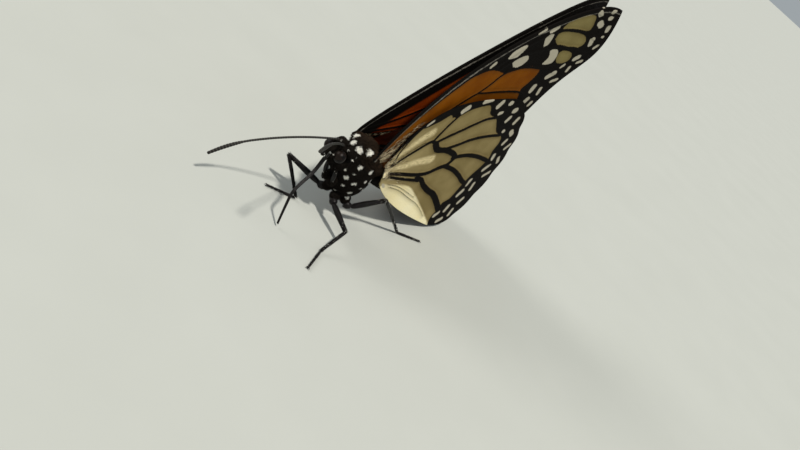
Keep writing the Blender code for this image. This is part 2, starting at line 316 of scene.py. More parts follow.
def fur_finish(name, coat):
    """Velvet black with brown on the back and white spots; the hairs pale towards their tips."""
    paint = Finish(name, roughness=0.75, specular_ior_level=0.03)
    spot = paint.ramp(paint.reading("pale"), 0.06, -0.06)
    brown = paint.reading("brown")
    if coat:
        tone, tip = paint.reading("tone"), paint.reading("tip")
        black = paint.mix(tone, (0.003, 0.0025, 0.0022), (0.011, 0.009, 0.0075))
        warm = paint.mix(tone, (0.016, 0.010, 0.007), (0.050, 0.032, 0.020))
        white = paint.mix(tone, (0.70, 0.68, 0.60), (0.90, 0.89, 0.84))
        colour = paint.mix(brown, black, warm)
        colour = paint.mix(paint.times(tip, 0.14), colour, (0.05, 0.036, 0.026))
        return paint.shade(paint.mix(spot, colour, white))
    grain = paint.noise(paint.objects(), 9000.0, 3.0)
    colour = paint.mix(brown, (0.007, 0.006, 0.005), (0.022, 0.014, 0.010))
    white = paint.mix(grain, (0.62, 0.60, 0.52), (0.84, 0.82, 0.76))
    return paint.shade(paint.mix(spot, colour, white), grain, 0.00004)


def cuticle_finish():
    """Black horn with fine pits and a thin dusting of grey scales."""
    paint = Finish("black_cuticle", roughness=0.36, specular_ior_level=0.14)
    place = paint.objects()
    pits = paint.cells(place, 14000.0)
    grain = paint.noise(place, 7000.0, 3.0)
    dust = paint.ramp(paint.noise(place, 2600.0, 3.0, 0.7), 0.56, 0.74)
    colour = paint.mix(grain, (0.003, 0.003, 0.003), (0.010, 0.008, 0.008))
    colour = paint.mix(paint.times(dust, 0.2), colour, (0.06, 0.057, 0.054))
    return paint.shade(colour, pits, 0.000012, paint.ramp(grain, 0.3, 0.7, 0.28, 0.5))


def eye_finish():
    """Brown-black domes of tiny lenses."""
    paint = Finish("compound_eye", roughness=0.38, specular_ior_level=0.12)
    place = paint.objects()
    lens = paint.cells(place, 15000.0)
    blotch = paint.noise(place, 1400.0, 2.0)
    colour = paint.mix(paint.ramp(blotch, 0.35, 0.65), (0.003, 0.002, 0.002), (0.012, 0.007, 0.005))
    return paint.shade(colour, lens, 0.00001, None, 0.7)


def feeler_finish():
    """Dark grey-brown rings with paler joints."""
    paint = Finish("feeler_horn", roughness=0.5, specular_ior_level=0.15)
    ring = paint.reading("ring")
    grain = paint.noise(paint.objects(), 9000.0, 2.0)
    colour = paint.mix(grain, (0.006, 0.0055, 0.005), (0.018, 0.016, 0.014))
    colour = paint.mix(paint.times(ring, 0.5), colour, (0.10, 0.098, 0.085))
    return paint.shade(colour, grain, 0.00001)


# ---------------- putting meshes in the scene
def stand_up(points):
    """Places in the insect's frame, mm, as places on the floor, metres."""
    turn = np.array(STAND.to_3x3())
    return (np.asarray(points, float) @ turn.T + np.array(STAND.translation)) * MM


def finish_piece(name, mesh, materials, nodes=()):
    """Link a mesh whose places are already in metres, and tie it to the model."""
    for material in materials:
        mesh.materials.append(material)
    item = put(name, mesh)
    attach(item, "root")
    if nodes:
        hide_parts(*nodes)
    return item


def mesh_of(bm, name, angle=60.0):
    """The drawn form, in mm in the insect's frame, as a smooth mesh standing on the floor."""
    bmesh.ops.recalc_face_normals(bm, faces=bm.faces)
    if bm.calc_volume(signed=True) < 0.0:
        bmesh.ops.reverse_faces(bm, faces=bm.faces)
    bmesh.ops.transform(bm, matrix=Matrix.Scale(MM, 4) @ STAND, verts=bm.verts)
    mesh = bpy.data.meshes.new(name)
    bm.to_mesh(mesh)
    bm.free()
    mesh.shade_smooth()
    mesh.set_sharp_from_angle(angle=radians(angle))
    return mesh


def coordinates(mesh):
    flat = np.empty(len(mesh.vertices) * 3)
    mesh.vertices.foreach_get("co", flat)
    return flat.reshape(-1, 3)


def drawn_piece(name, bm, material, nodes=(), angle=60.0):
    return finish_piece(name, mesh_of(bm, name, angle), (material,), nodes)


def write_reading(mesh, name, values):
    layer = mesh.attributes.new(name, "FLOAT", "POINT")
    layer.data.foreach_set("value", np.asarray(values, dtype=np.float32))


# ---------------- shapes of the wings
def thorax_half_width(tailward, up):
    middle = THORAX_MIDDLE[1] + THORAX_LEAN * (THORAX_MIDDLE[2] - up)
    inside = 1.0
    inside -= ((tailward - middle) / THORAX_HALF[1]) ** 2
    inside -= ((up - THORAX_MIDDLE[2]) / THORAX_HALF[2]) ** 2
    return THORAX_HALF[0] * sqrt(max(0.0, inside))


def from_hinge(hinge, sweep, along, across):
    return (hinge[0] - along * cos(sweep) + across * sin(sweep),
            hinge[1] + along * sin(sweep) + across * cos(sweep))


def to_hinge(hinge, sweep, tailward, up):
    dy = tailward - hinge[0]
    dz = up - hinge[1]
    return -dy * cos(sweep) + dz * sin(sweep), dy * sin(sweep) + dz * cos(sweep)


def softer_max(a, b, blend=0.35):
    return 0.5 * (a + b + sqrt((a - b) ** 2 + blend ** 2))


def beside_thorax(outward, tailward, up):
    width = thorax_half_width(tailward, up)
    if width == 0.0:
        return outward
    return max(outward, width + WING_THICKNESS / 2 + WING_CLEARANCE)


def forewing_outward(tailward, up, side):
    along, across = to_hinge(FOREWING_HINGE, FOREWING_SWEEP, tailward, up)
    root = max(0.0, 1.0 - along / 28.0) ** 2
    tip = (max(0.0, along - 28.0) / 22.0) ** 2
    outward = 0.65 + 2.15 * root + TIP_LEAN[side] * tip + across * (0.002 * along - 0.05)
    return beside_thorax(max(0.5, outward), tailward, up)


def hindwing_outward(tailward, up, side):
    along, across = to_hinge(HINDWING_HINGE, HINDWING_SWEEP, tailward, up)
    outward = 2.8 - 0.037 * along + across * (0.15 - 0.0037 * along)
    step = WING_THICKNESS + WING_CLEARANCE
    outward = softer_max(outward, forewing_outward(tailward, up, side) + step)
    return beside_thorax(outward, tailward, up)


def forewing_costa(along):
    t = max(0.0, along) / FOREWING_LENGTH
    return -COSTA_BULGE * sin(pi * t ** 0.9) ** 0.8 + FOREWING_TIP_DROP * t ** 16


def forewing_hind_edge(along):
    corner, depth = FOREWING_TORNUS
    t = along / corner
    inner = 0.9 + (depth - 0.9) * t - INNER_HOLLOW * sin(pi * min(1.0, t))
    s = (along - corner) / (FOREWING_LENGTH - corner)
    outer = depth + (FOREWING_TIP_DROP - depth) * s
    if s > 0.0:
        outer += OUTER_BULGE * sin(pi * min(1.0, s) ** 3.0) ** 0.7
    return 0.5 * (inner + outer - sqrt((inner - outer) ** 2 + 1.2 ** 2))


def forewing_point(u, v):
    along = FOREWING_ROOT + (FOREWING_LENGTH - FOREWING_ROOT) * sin(pi / 2 * u)
    top = forewing_costa(along)
    bottom = max(top, forewing_hind_edge(along)) if u < 1.0 else top
    return along, top + (bottom - top) * v


def hindwing_point(radial, turn):
    lead, middle, hind = HINDWING_REACH
    reach = lead * (1 - turn) * (1 - 2 * turn) + 4 * middle * turn * (1 - turn)
    reach += hind * turn * (2 * turn - 1)
    reach -= HINDWING_ROUNDING[0] * max(0.0, 1 - turn / 0.12) ** 2
    reach -= HINDWING_ROUNDING[1] * max(0.0, 1 - (1 - turn) / 0.14) ** 2
    angle = HINDWING_SPREAD * turn
    along = radial * reach * cos(angle)
    across = radial * reach * sin(angle)
    across -= SHOULDER_BULGE * (1 - turn) ** 2 * sin(pi * radial ** 0.74)
    fold = ANAL_BULGE * turn ** 2 * sin(pi * radial ** 0.6)
    return along - fold * sin(HINDWING_SPREAD), across + fold * cos(HINDWING_SPREAD)


def floor_line(tailward):
    return (tailward * sin(PITCH) - BODY_HEIGHT) / cos(PITCH)


# ---------------- markings of the wings
def smooth_run(points, steps=8):
    """A smooth line through a few given places."""
    p = np.array(points, float)
    p = np.vstack((2 * p[0] - p[1], p, 2 * p[-1] - p[-2]))
    t = np.linspace(0, 1, steps, endpoint=False)[:, None]
    run = []
    for a, b, c, d in zip(p, p[1:], p[2:], p[3:]):
        run.append(0.5 * (2 * b + (c - a) * t + (2 * a - 5 * b + 4 * c - d) * t ** 2
                          + (3 * b - a - 3 * c + d) * t ** 3))
    return np.vstack(run + [p[-2][None]])


def off_run(places, run):
    """How far each place is from a run of points, and where along the run it is nearest."""
    best = np.full(len(places), 1e9)
    share = np.zeros(len(places))
    for i, (a, b) in enumerate(zip(run, run[1:])):
        step = b - a
        t = np.clip((places - a) @ step / max(1e-12, step @ step), 0, 1)
        gap = np.linalg.norm(places - a - t[:, None] * step, axis=1)
        nearer = gap < best
        best[nearer] = gap[nearer]
        share[nearer] = (i + t[nearer]) / (len(run) - 1)
    return best, share


def off_veins(places, veins):
    """Distance outside the nearest vein, each given as places and its two half-widths."""
    best = np.full(len(places), 1e9)
    for points, first, last in veins:
        gap, share = off_run(places, smooth_run(points))
        best = np.minimum(best, gap - first - (last - first) * share)
    return best


def off_outline(places, points):
    """Distance outside a closed outline, negative inside it."""
    run = smooth_run(points + points[:1], 6)
    gap, _ = off_run(places, run)
    inside = np.zeros(len(places), bool)
    for (x0, y0), (x1, y1) in zip(run, run[1:]):
        crosses = (y0 > places[:, 1]) != (y1 > places[:, 1])
        if y1 != y0:
            left = x0 + (places[:, 1] - y0) * (x1 - x0) / (y1 - y0)
            inside ^= crosses & (places[:, 0] < left)
    return np.where(inside, -gap, gap)


def off_spots(places, spots):
    """Distance outside the nearest oval: two ends of its long axis and two end radii."""
    best = np.full(len(places), 1e9)
    for x0, y0, x1, y1, first, last in spots:
        gap, share = off_run(places, np.array([(x0, y0), (x1, y1)]))
        best = np.minimum(best, gap - first - (last - first) * share)
    return best


# places are (along, across) in mm from the hinge; a vein ends with its two half-widths
FOREWING_VEINS = [
    ([(0.4, -0.5), (6, -1.9), (12, -2.5), (18, -2.9), (25, -3.3), (33, -3), (41, -1.6),
      (47.5, 1.8)], 0.34, 0.2),
    ([(0.4, 0.3), (6, 1.3), (12, 2.2), (18.3, 2.8), (20.6, 3.1), (22.8, 2.9), (24.8, 2.4),
      (26.4, 2.4)], 0.24, 0.26),
    ([(20.3, 3.1), (22.4, 4.9), (25, 7), (29, 10.5), (33.6, 15.8)], 0.18, 0.26),
    ([(13, 2.4), (17, 6), (21.5, 10.4), (26.5, 14.9), (31.4, 18.8)], 0.2, 0.26),
    ([(0.8, 0.8), (9, 4.8), (18, 10.5), (25, 15.9), (30.2, 19.4)], 0.24, 0.24),
    ([(26.4, 2.4), (29.6, 3.9), (32.6, 6.4), (35.4, 9.4), (38, 12.4), (39.2, 14.4)], 0.28, 0.3),
    ([(25, 0.2), (28.6, 0.1), (31, 0.9), (33.8, 2.2), (36.3, 3.2), (38.4, 5.2), (40.6, 7.1),
      (43.9, 12.2)], 0.28, 0.3),
    ([(24.4, -1.2), (31, -1.5), (35.6, -1), (38.6, 0.7), (41.1, 2.8), (43.3, 5.3), (46.2, 9.8)], 0.28, 0.3),
    ([(33, -2.6), (40, -1.7), (44, -0.2), (46.2, 3.6), (48.2, 5.6)], 0.26, 0.26),
]
FOREWING_ORANGE = [
    (0.2, -0.5), (6, -1.8), (12, -2.4), (17.5, -2.6), (20.5, -2), (22.6, -1.1), (24.2, 0.4), (25.5, 2.1),
    (27, 2.7), (28.8, 3.5), (30.8, 4.6), (32.5, 6.1), (33.2, 7.4), (32.7, 8.6), (31.2, 9.6), (29.6, 10.4),
    (29.2, 12.4), (28.2, 15.2), (25.8, 16.6), (21, 13.6), (14, 9.2), (6, 4.4), (0.2, 0.9),
]
FOREWING_TAN = [
    [(36.9, -0.9), (38.2, -1.6), (40, -1.5), (42, -0.8), (43.4, 0.4), (43.5, 1.7), (42.8, 3.5), (41, 2.4),
     (39, 0.8), (37.2, -0.4)],
    [(35.6, 1), (36.2, 0.1), (37.4, 0.3), (39, 1.5), (40.8, 3.1), (41.9, 4.5), (42.3, 6), (41.7, 6.9),
     (40.4, 6.6), (38.4, 4.9), (36.3, 2.9)],
    [(36.9, 5.6), (37.8, 5.6), (39.2, 6.9), (39.8, 8.2), (39.3, 9.3), (38, 9.2), (36.8, 8.2), (36.5, 6.9)],
]
FOREWING_BARS = [
    [(26, -1.5), (27.2, -2.2), (28.8, -2.2), (29.9, -1.8), (29.4, -0.8), (27.9, -0.3), (26.6, -0.8)],
    [(27.3, 1.9), (27.2, 0.6), (28.5, 0.5), (30.2, 1.2), (30.4, 2.4), (29.3, 3), (28, 2.6)],
    [(33.3, 1.3), (33.5, -0.6), (34.3, -1.2), (35.2, -0.6), (34.9, 0.5), (34.2, 1.4)],
    [(33.5, 6.1), (34.8, 5.2), (35, 3.5), (36.3, 4.2), (36.7, 5.3), (36.4, 6.6), (35.6, 7.4), (34.2, 6.8)],
]
# an oval is drawn between two places, with a radius at each
FOREWING_OVALS = [
    (22.7, -2, 23.5, -2.2, 0.34, 0.42), (34.7, -1.9, 35.9, -1.8, 0.52, 0.4),
    (32, -3.1, 33.3, -3.1, 0.22, 0.34), (44.8, -0.9, 45.4, -0.7, 0.22, 0.19),
    (44.3, 0.1, 44.5, 0.8, 0.49, 0.47), (44.7, 3, 45, 3.9, 0.62, 0.55), (43.7, 6.6, 43.4, 7.8, 0.55, 0.49),
    (40.6, 9.9, 41.4, 9.9, 0.52, 0.55), (37.9, 10.3, 38.5, 10.1, 0.3, 0.34),
    (35.2, 11.1, 36.4, 11, 0.59, 0.71), (32, 12.7, 32.6, 11.9, 0.56, 0.59),
    (30.7, 15.3, 31.4, 14.9, 0.56, 0.62), (47, 1.6, 47.3, 1.8, 0.44, 0.44),
    (46.6, 2.9, 46.9, 3.2, 0.42, 0.42), (46.7, 5.4, 46.5, 6.1, 0.52, 0.47),
    (45.7, 7.2, 45.9, 7.4, 0.25, 0.25), (44.4, 9.4, 45.1, 9.2, 0.33, 0.36),
    (41.3, 11.4, 42.2, 11.6, 0.32, 0.37), (39.3, 12.4, 39.8, 11.7, 0.34, 0.37),
    (36.2, 13.2, 37.4, 13.5, 0.37, 0.37), (33.6, 14.8, 34.1, 13.7, 0.4, 0.4),
    (31.9, 17.1, 32.4, 16.7, 0.4, 0.4),
]
HINDWING_VEINS = [
    ([(0.6, 0.6), (2.1, -0.6), (2.9, -2.3), (4.1, -3.6), (5.5, -4.7), (7.7, -5.8)], 0.22, 0.26),
    ([(0.6, 0.5), (1.6, 0.2), (3.9, -0.1), (7.2, -0.3), (9.8, -0.4), (10.9, 0.6)], 0.26, 0.36),
    ([(3, -0.6), (6, -0.9), (8.6, -1)], 0.05, 0.09),
    ([(10.5, -0.4), (11.7, -1.3), (13.3, -2.4), (14.5, -3.1), (15.4, -3.6)], 0.3, 0.28),
    ([(11.4, 0.5), (13.6, 0.6), (16.6, 0.9), (19.2, 1.1), (22, 1.5), (24.6, 2.6)], 0.34, 0.3),
    ([(13.2, 3.5), (16.1, 4.3), (18.6, 4.8), (21.2, 5.7), (24.1, 7.1), (27, 8.8)], 0.36, 0.34),
    ([(10.9, 0.8), (11.6, 2.6), (13.7, 4.1), (15.5, 6.1), (16.3, 7.6)], 0.66, 0.52),
    ([(15.6, 7.2), (18.7, 8.7), (21.4, 10.7), (24.1, 13.4), (27.2, 17)], 0.46, 0.44),
    ([(0.8, 1.2), (1.6, 1.9), (4.6, 4.1), (7.7, 6.3), (10, 7.4), (12.4, 7.8), (14.5, 8.3),
      (16.2, 7.6)], 0.34, 0.5),
    ([(14.2, 8.5), (16.4, 11), (18.2, 13.8), (19.5, 16.3), (21, 18.6)], 0.46, 0.48),
    ([(7.6, 7), (8.8, 8.3), (9.5, 10.2), (10.9, 12.7), (12.3, 14.7), (13.5, 17.6), (14.6, 21)], 0.44, 0.7),
    ([(1.5, 2.7), (3.4, 4.3), (5.4, 5.9), (8.2, 8.1)], 0.26, 0.34),
    ([(1.8, 5.3), (4, 7.7), (6.1, 10.9), (8.7, 14.9), (10.7, 19.6)], 0.05, 0.04),
    ([(1.6, 4.6), (3.4, 6.2), (5, 8.2), (7.6, 12)], 0.05, 0.03),
]
HINDWING_GROUND = [
    (-1, -3.5), (1.5, -5.2), (4.5, -5.6), (6.5, -5.6), (8, -4.9), (10.9, -4.5), (13.2, -4.6), (13.8, -3.7),
    (15.4, -3.2), (17.8, -3.2), (20.2, -2.6), (21.9, -1.9), (22.4, -0.8), (22.7, 0.8), (24.5, 2.9),
    (25.1, 5), (25.7, 7.2), (27.4, 9.5), (27.5, 11.2), (26.3, 12.8), (25.8, 14.4), (24.3, 15.7),
    (22.4, 16.4), (20.4, 17.4), (18.6, 18.9), (17.2, 19.8), (15.4, 19.7), (14.2, 20.8), (12.9, 21.8),
    (12.3, 23.6), (12.6, 28), (5, 30), (-4, 12), (-4, 2),
]
HINDWING_FOLD = [
    (0.6, 3.9), (2.4, 5.2), (4.8, 7), (6.6, 8.9), (8.2, 12.4), (9.6, 15.9), (11.2, 20.2), (12.8, 26),
    (8, 28), (0, 15), (-3, 5),
]
HINDWING_OVALS = [
    (0.4, 0.6, 0.6, 1.2, 0.37, 0.44), (-1.6, -2.6, -1.4, -2.1, 0.19, 0.21),
    (0.4, 3.8, 0.7, 4.6, 0.23, 0.26), (8.3, -5.4, 9.4, -5.6, 0.27, 0.32),
    (15.8, -4, 16.9, -4.2, 0.52, 0.59), (20.4, -3.5, 22.4, -3, 0.4, 0.4),
    (24.2, -0.4, 25, -0.9, 0.62, 0.56), (27.2, 0.6, 27.5, 0.8, 0.52, 0.52),
    (28.9, 3.5, 29.3, 3.7, 0.62, 0.62), (25, 1.9, 25.7, 2.1, 0.4, 0.34), (27.6, 5.4, 28.3, 5, 0.49, 0.49),
    (30.1, 7.5, 30.8, 6.9, 0.52, 0.52), (27.6, 8.1, 27.8, 8.4, 0.37, 0.37),
    (30.1, 9.9, 30.5, 11, 0.52, 0.52), (28.8, 12.5, 29.5, 12.1, 0.46, 0.46),
    (29.9, 14.7, 31.1, 14.4, 0.4, 0.4), (27, 15.5, 27.2, 14.7, 0.49, 0.49),
    (29, 18, 28.9, 16.7, 0.42, 0.42), (25.2, 17.5, 26.6, 17.3, 0.47, 0.47),
    (25.7, 19.7, 27.4, 19.9, 0.4, 0.4), (21.4, 19, 22.2, 18.3, 0.47, 0.47),
    (22.8, 21.5, 23.5, 20.3, 0.42, 0.42), (19.4, 20.6, 20.6, 20.2, 0.49, 0.49),
    (20.1, 23.4, 21.3, 23.1, 0.44, 0.44), (16.6, 22.9, 17.4, 22.3, 0.49, 0.49),
    (18, 25.4, 18.8, 24.5, 0.44, 0.44), (13.8, 22.2, 14.8, 22.1, 0.47, 0.47),
    (14.8, 24.7, 16.1, 25, 0.44, 0.44),
]
# painted highlight: warm light streaks where light catches the fine hair near the wing roots; a run and its
# two half-widths
HINDWING_PAINTED_GLINTS = [
    ([(1.8, 0.9), (4.4, 2.1), (7.4, 3), (10.5, 4.3)], 0.3, 0.8),
    ([(2.7, -1.6), (4.4, -1.9), (6.6, -2.3), (9.8, -2.6)], 0.4, 0.8),
    ([(-0.4, -2.8), (0.8, -3.6), (2.9, -4.4), (5.4, -5.4)], 0.6, 0.5),
]
MARGIN_CELLS = 7.0


def forewing_outer(t):
    """A place on the outer margin, 0 at the tip to 1 at the hind corner."""
    along = FOREWING_LENGTH - (FOREWING_LENGTH - FOREWING_TORNUS[0]) * t
    return along, max(forewing_costa(along), forewing_hind_edge(along))


def off_edge(plane, edge_point, steps):
    return off_run(plane, np.array([edge_point(i / steps) for i in range(steps + 1)]))[0]


def wing_grid(columns, rows, wing_point, hinge, sweep, floor_at=None):
    """A flat sheet of vertices shaped to the wing; returns the sheet, places and wing plane."""
    bm = bmesh.new()
    bmesh.ops.create_grid(bm, x_segments=columns, y_segments=rows, size=1.0)
    plane, places = [], []
    for vert in bm.verts:
        along, across = wing_point((vert.co.x + 1) / 2, (vert.co.y + 1) / 2)
        tailward, up = from_hinge(hinge, sweep, along, across)
        if floor_at:
            up = max(up, floor_at(tailward))
        plane.append((along, across))
        places.append((tailward, up))
    return bm, np.array(places), np.array(plane)


def make_wing(kind, mark, side, sheet, outward, marks, finishes, relief):
    """A thin two-faced wing: the outer face takes the first finish, the inner the second."""
    name = "%s_sheet_%s" % (kind, mark)
    bm, places, plane = sheet
    bm = bm.copy()
    bm.verts.ensure_lookup_table()
    for vert, (tailward, up) in zip(bm.verts, places):
        vert.co = (side * outward(tailward, up, side), tailward, up)
    layer = bm.loops.layers.uv.new("WingPlane")
    for face in bm.faces:
        for loop in face.loops:
            loop[layer].uv = plane[loop.vert.index]
    bmesh.ops.recalc_face_normals(bm, faces=bm.faces)
    bm.faces.ensure_lookup_table()
    if bm.faces[len(bm.faces) // 2].normal.x * side < 0.0:
        bmesh.ops.reverse_faces(bm, faces=bm.faces)
    bmesh.ops.transform(bm, matrix=Matrix.Scale(MM, 4) @ STAND, verts=bm.verts)
    mesh = bpy.data.meshes.new(name)
    bm.to_mesh(mesh)
    bm.free()
    mesh.shade_smooth()
    for key, values in marks.items():
        write_reading(mesh, key, values)
    item = finish_piece(name, mesh, finishes, ("%s_%s" % (kind, mark),))
    group = item.vertex_groups.new(name="relief")
    share = np.clip(relief, 0.0, 1.0)
    for step in range(21):
        chosen = np.nonzero(np.round(share * 20) == step)[0]
        if len(chosen):
            group.add([int(i) for i in chosen], step / 20, "REPLACE")
    plate = item.modifiers.new("thickness", "SOLIDIFY")
    plate.thickness = (MEMBRANE + VEIN_HEIGHT) * MM
    plate.offset = 0.0
    plate.vertex_group = "relief"
    plate.thickness_vertex_group = MEMBRANE / (MEMBRANE + VEIN_HEIGHT)
    plate.material_offset = 1
    plate.use_even_offset = False


def make_pair(kind, sheet, outward, marks, finishes, relief):
    """The left and right wing of a kind, drawn from the same sheet and markings."""
    plane = sheet[2]
    far = np.full(len(plane), FAR_OFF)
    marks = {"costa_highlight": far, "painted_glint": far, "root": np.linalg.norm(plane, axis=1), **marks}
    for side, mark in SIDES:
        make_wing(kind, mark, side, sheet, outward, marks, finishes, relief)


def ridge(gap, width):
    """1 on a vein's line, falling away to 0 beside it."""
    return np.clip(1.0 - np.maximum(gap, 0.0) / width, 0.0, 1.0) ** 1.5


def off_shapes(places, outlines, ovals):
    """Distance outside the nearest of some closed outlines and ovals."""
    gaps = [off_outline(places, outline) for outline in outlines] + [off_spots(places, ovals)]
    return np.min(gaps, axis=0)


def make_wings():
    under = dict(dusk=(0.055, 0.03, 0.009), spot=(0.33, 0.30, 0.22), painted_glint=(0.92, 0.78, 0.46))
    # painted shade: the upper side's dusk and base are dark reds for the shade on the far wing's inner face,
    # and it gets no painted highlight
    above = dict(dusk=(0.10, 0.012, 0.003), spot=(0.66, 0.64, 0.58), painted_glint=(0.10, 0.012, 0.003))
    orange = ((0.16, 0.042, 0.001), (0.22, 0.066, 0.002))
    tan = ((0.205, 0.160, 0.066), (0.26, 0.205, 0.090))
    # the fold's own pale cream, raised close to white: partly its real colour, partly painted light for the
    # sun falling on the fold
    cream = ((0.95, 0.84, 0.49), (0.97, 0.89, 0.60))
    apex = ((0.19, 0.155, 0.060), (0.24, 0.20, 0.080))
    # painted shade: the upper side's dark red ground is far darker than its real bright orange and stands
    # for the shade on the far wing's inner face
    shaded_upper_red = ((0.22, 0.030, 0.0015), (0.29, 0.052, 0.0025))
    fore_under = wing_finish("forewing_underside", orange, apex, dict(under, base=(0.13, 0.05, 0.008)))
    hind_under = wing_finish("hindwing_underside", tan, cream, dict(under, base=(0.50, 0.42, 0.22)))
    fore_above = wing_finish("forewing_upperside", shaded_upper_red, ((0.46, 0.17, 0.025), (0.52, 0.22, 0.04)),
                             dict(above, band=3.1, base=(0.16, 0.02, 0.004)))
    hind_above = wing_finish("hindwing_upperside", shaded_upper_red, ((0.36, 0.11, 0.02), (0.42, 0.15, 0.03)),
                             dict(above, base=(0.16, 0.02, 0.004)))

    sheet = wing_grid(280, 110, forewing_point, FOREWING_HINGE, FOREWING_SWEEP)
    plane = sheet[2]
    costa = plane[:, 1] - np.array([forewing_costa(a) for a in plane[:, 0]])
    rim = off_edge(plane, forewing_outer, 60)
    lines = off_veins(plane, FOREWING_VEINS)
    tan_zone = off_shapes(plane, FOREWING_TAN, [])
    coloured = np.minimum(off_outline(plane, FOREWING_ORANGE), tan_zone)
    marks = {
        "dark": np.minimum(np.minimum(-coloured, lines), costa - FORE_MARGIN),
        "pale": off_shapes(plane, FOREWING_BARS, FOREWING_OVALS),
        "patch": tan_zone - 0.3,
        "costa": costa,
        # painted highlight line along the leading edge
        "costa_highlight": np.abs(costa - 0.55 - 0.012 * plane[:, 0]) - 0.13,
    }
    relief = np.maximum(ridge(lines, 0.25), 0.7 * ridge(costa - 0.2, 0.3)) * np.clip(rim / 1.2, 0, 1)
    make_pair("forewing", sheet, forewing_outward, marks, (fore_under, fore_above), relief)

    def scalloped(u, v):
        along, across = hindwing_point(0.03 + 0.97 * u, v)
        notch = 1.0 - 0.012 * u ** 12 * abs(cos(pi * MARGIN_CELLS * v)) ** 3
        return along * notch, across * notch

    sheet = wing_grid(200, 200, scalloped, HINDWING_HINGE, HINDWING_SWEEP, floor_line)
    plane = sheet[2]
    rim = off_edge(plane, lambda turn: hindwing_point(1.0, turn), 80)
    front = off_edge(plane, lambda t: hindwing_point(0.02 + 0.98 * t, 0.0), 60)
    lines = off_veins(plane, HINDWING_VEINS)
    ground = -off_outline(plane, HINDWING_GROUND)
    marks = {
        "dark": np.minimum(np.minimum(ground, lines), front - HIND_MARGIN),
        "pale": off_spots(plane, HINDWING_OVALS),
        "patch": off_outline(plane, HINDWING_FOLD),
        "costa": front,
        "painted_glint": off_veins(plane, HINDWING_PAINTED_GLINTS),
    }
    relief = ridge(lines, 0.25) * np.clip(rim / 1.2, 0, 1)
    make_pair("hindwing", sheet, hindwing_outward, marks, (hind_under, hind_above), relief)


# ---------------- body skin
# spots on the thorax: degrees round from the middle of the back, mm tailward, radius
COLLAR_SPOTS = ((21, -1.96, 0.55), (52, -2.64, 0.30), (96, -2.75, 0.24), (44, -2.35, 0.12))
SHOULDER_SPOTS = ((34, -0.37, 0.62), (35, 0.81, 0.26), (43, 2.1, 0.24), (70, -1.31, 0.40), (69, 1.6, 0.48))
FLANK_SPOTS = ((90, -1.59, 0.20), (111, -2.14, 0.42), (105, -0.42, 0.38), (90, 1.79, 0.30),
               (131, -1.47, 0.26), (106, 2.11, 0.26), (126, 0.82, 0.40), (165, -0.66, 0.26),
               (147, 2.5, 0.36), (138, 2.0, 0.22))
REAR_SPOTS = ((60, 3.6, 0.34), (86, 4.0, 0.55), (76, 4.6, 0.26), (108, 3.6, 0.38))
HEAD_SPOTS = ((0.0, -7.25, 0.62, 0.20), (0.90, -6.0, 0.95, 0.24), (1.15, -4.7, 1.50, 0.20),
              (0.98, -6.75, 0.52, 0.17), (0.45, -7.65, 0.05, 0.17), (0.80, -7.55, -0.85, 0.16),
              (1.5, -4.6, 0.75, 0.26), (1.25, -5.6, -1.3, 0.20))


# soft forms merged into the skin, half sizes and middle: face, neck, front of the thorax, waist
MIDDLE_FORMS = (((0.85, 0.42, 0.85), (0.0, -7.25, -0.95)), ((1.15, 1.0, 1.25), (0.0, -4.9, -0.95)),
                ((1.7, 1.1, 1.9), (0.0, -3.7, -1.2)), ((1.15, 1.3, 1.15), (0.0, 6.6, -1.5)))
# and on each side: three hips, two wing roots, antenna base, collar lobe
SIDE_FORMS = (((0.75, 0.95, 0.85), (1.15, 2.1, -6.75)), ((0.75, 0.95, 0.90), (1.45, 4.7, -6.35)),
              ((0.60, 0.80, 0.90), (0.75, -1.4, -4.9)), ((0.60, 1.35, 0.95), (2.0, -0.7, 2.2)),
              ((0.55, 1.30, 0.95), (2.45, 2.5, 0.9)), ((0.34, 0.34, 0.30), (0.60, -7.15, 0.72)),
              ((0.95, 1.05, 0.80), (1.15, -4.75, 0.85)))


def lean_thorax(unit, half):
    up = THORAX_MIDDLE[2] + half[2] * unit[2]
    tailward = THORAX_MIDDLE[1] + half[1] * unit[1] + THORAX_LEAN * (THORAX_MIDDLE[2] - up)
    tailward -= COLLAR * max(0.0, -unit[1]) ** 8
    return Vector((half[0] * unit[0], tailward, up))


def abdomen_place(unit, depth):
    """Seven soft rings, slender at the waist, fullest before the middle, pointed behind."""
    along = (1.0 + unit[1]) / 2.0
    ring = max(1e-6, sqrt(unit[0] ** 2 + unit[2] ** 2))
    radius = ABDOMEN_RADIUS * ring ** 0.62 * (0.82 + 0.22 * sin(pi * along ** 0.8) - 0.16 * along)
    radius = max(0.05, radius - depth - 0.10 * abs(cos(pi * 7.5 * along)) ** 6)
    rise = -1.3 + 1.3 * along
    return Vector((radius * unit[0] / ring, ABDOMEN_START + depth + (ABDOMEN_LENGTH - 2 * depth) * along,
                   rise + 1.05 * radius * unit[2] / ring))


def add_ball(bm, half, middle=None, reshape=None, sides=48, rings=36):
    made = bmesh.ops.create_uvsphere(bm, u_segments=sides, v_segments=rings, radius=1.0)
    turn = Matrix.Rotation(radians(90.0), 3, "X")
    for vert in made["verts"]:
        unit = turn @ vert.co
        if reshape:
            vert.co = reshape(unit, half)
        else:
            vert.co = Vector(m + h * c for m, h, c in zip(middle, half, unit))
    return made["verts"]


